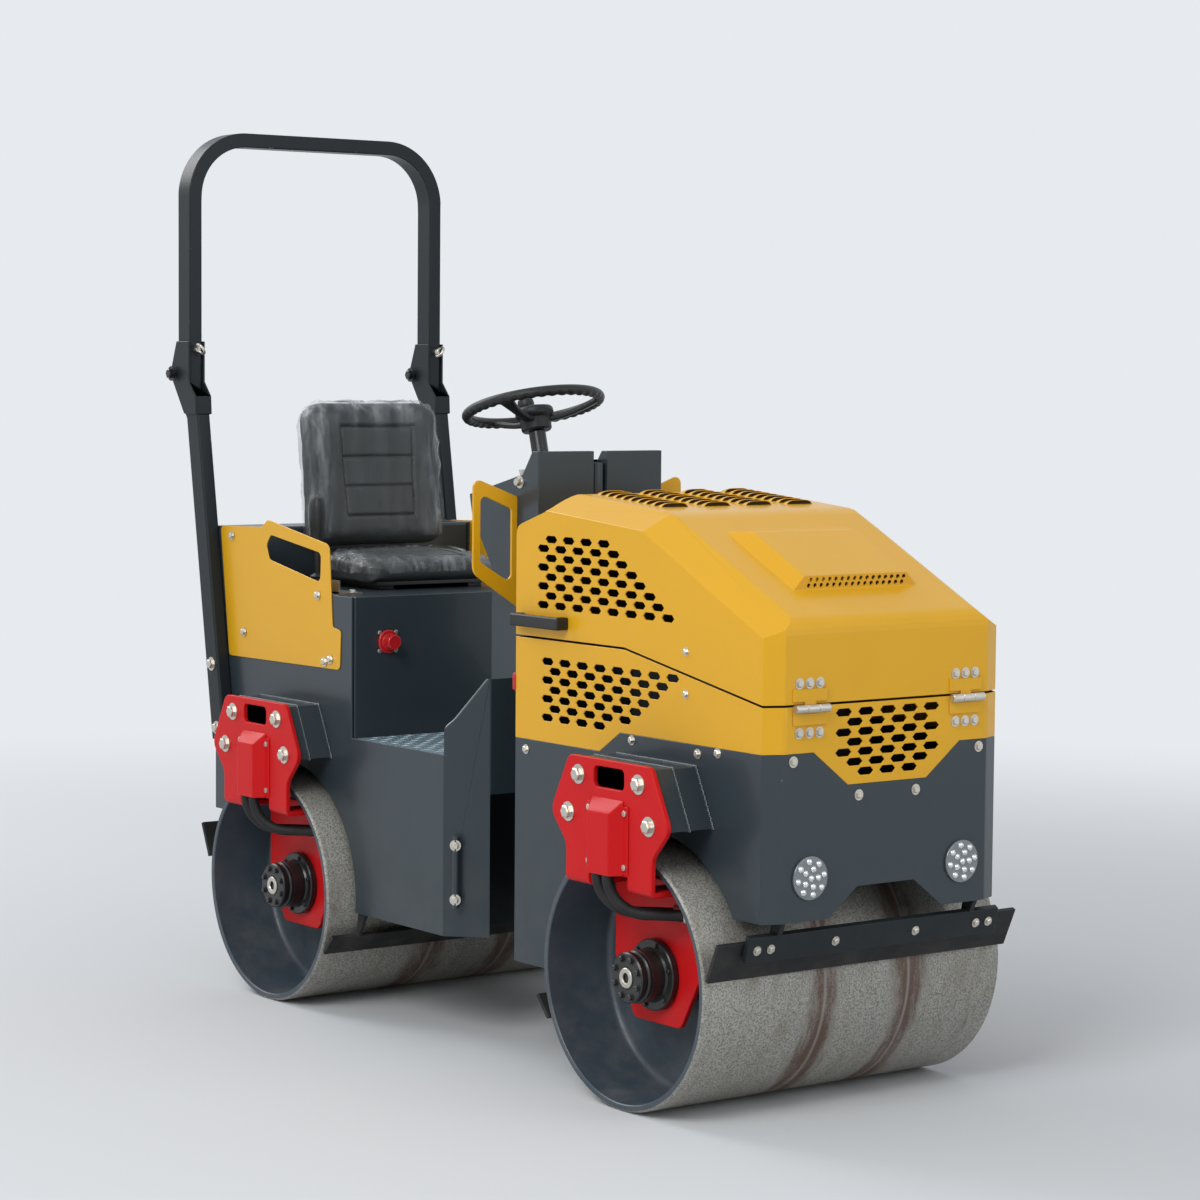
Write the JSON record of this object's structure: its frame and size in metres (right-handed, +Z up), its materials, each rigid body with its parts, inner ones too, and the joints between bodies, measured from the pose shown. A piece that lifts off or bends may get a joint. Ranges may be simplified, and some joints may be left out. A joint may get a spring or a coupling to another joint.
{
  "type": "road roller",
  "caption": "Articulated tandem road roller with smooth drums in side hangers, hinged perforated hood, ride-on seat, steering console and folding roll bar.",
  "frame": {"origin": "on the ground under the middle of the machine's length and width", "axes": "+X forward to the hood's front, +Y to the driver's left, +Z up"},
  "size_m": [2.358, 0.946, 2.143],
  "materials": {
    "yellow_paint": "satin paint on sheet steel",
    "grey_paint": "satin slate grey paint",
    "dark_paint": "dark grey paint",
    "red_paint": "gloss red paint",
    "drum_steel": "bare rolled steel, worn by the road",
    "zinc": "zinc-plated steel",
    "floor_steel": "pale grey tread plate",
    "black_plastic": "black plastic",
    "black_metal": "black paint on metal",
    "rubber": "black rubber",
    "seat_vinyl": "black vinyl over foam",
    "lamp": "clear lens in a bright reflector",
    "tank_plastic": "grey tank",
    "engine_metal": "cast engine block, drawn as one plain block",
    "red_plastic": "red push button"
  },
  "bodies": {
    "rear_frame": {"rear_sides": "grey_paint", "rear_wall": "grey_paint", "cross_wall": "dark_paint", "foot_guard": "grey_paint", "floor_plate": "floor_steel", "seat_box": "grey_paint", "water_tank": "tank_plastic", "side_guards": "yellow_paint", "console": "grey_paint", "console_handles": "yellow_paint", "steering_column": "black_metal", "seat_base": "black_metal", "seat_cushion": "seat_vinyl", "seat_back": "seat_vinyl", "travel_lever": "black_plastic", "stop_button": "red_plastic", "lock_bar": "zinc", "rops_posts": "dark_paint", "rear_hangers": "red_paint", "rear_covers": "red_paint", "rear_motors": "black_metal", "rear_hoses": "rubber", "rear_scrapers": "dark_paint", "steering_cylinder": "black_metal"},
    "yoke": {"centre_yoke": "dark_paint"},
    "front_frame": {"front_sides": "grey_paint", "front_panel": "grey_paint", "front_wall": "grey_paint", "engine_deck": "dark_paint", "engine": "engine_metal", "band_sides": "yellow_paint", "band_front": "yellow_paint", "headlamps": "lamp", "hood_hinges": "zinc", "front_hangers": "red_paint", "front_covers": "red_paint", "front_motors": "black_metal", "front_hoses": "rubber", "front_scrapers": "dark_paint"},
    "hood_lid": {"hood": "yellow_paint", "hood_leaves": "zinc", "hood_grips": "black_plastic"},
    "front_roll": {"front_drum": "drum_steel"},
    "rear_roll": {"rear_drum": "drum_steel"},
    "fold_hoop": {"rops_hoop": "dark_paint", "rops_lock_pins": "zinc"},
    "hand_wheel": {"steering_wheel": "black_plastic"},
    "cylinder_rod": {"steering_rod": "zinc"}
  },
  "joints": [
    {"name": "articulation", "type": "hinge", "parent": "rear_frame", "child": "yoke", "pos_m": [0.071, 0, 0.4], "axis": [0, 0, 1], "range_deg": [-30, 30]},
    {"name": "oscillation", "type": "hinge", "parent": "yoke", "child": "front_frame", "pos_m": [0.171, 0, 0.4], "axis": [1, 0, 0], "range_deg": [-8, 8]},
    {"name": "front_drum_spin", "type": "hinge", "parent": "front_frame", "child": "front_roll", "pos_m": [0.794, 0, 0.28], "axis": [0, 1, 0], "continuous": true},
    {"name": "rear_drum_spin", "type": "hinge", "parent": "rear_frame", "child": "rear_roll", "pos_m": [-0.652, 0, 0.28], "axis": [0, 1, 0], "continuous": true},
    {"name": "hood_hinge", "type": "hinge", "parent": "front_frame", "child": "hood_lid", "pos_m": [1.17, 0, 0.871], "axis": [0, 1, 0], "range_deg": [0, 65]},
    {"name": "roll_bar_fold", "type": "hinge", "parent": "rear_frame", "child": "fold_hoop", "pos_m": [-1.155, 0, 1.53], "axis": [0, -1, 0], "range_deg": [0, 150]},
    {"name": "steering_wheel_spin", "type": "hinge", "parent": "rear_frame", "child": "hand_wheel", "pos_m": [-0.115, 0, 1.46], "axis": [-0.2672, 0, 0.9636], "continuous": true},
    {"name": "steering_rod_slide", "type": "slide", "parent": "rear_frame", "child": "cylinder_rod", "axis": [0, 1, 0], "range_m": [-0.045, 0.045]}
  ],
  "couplings": [
    {"joint": "steering_rod_slide", "follows": "articulation", "m_per_rad": -0.08}
  ]
}
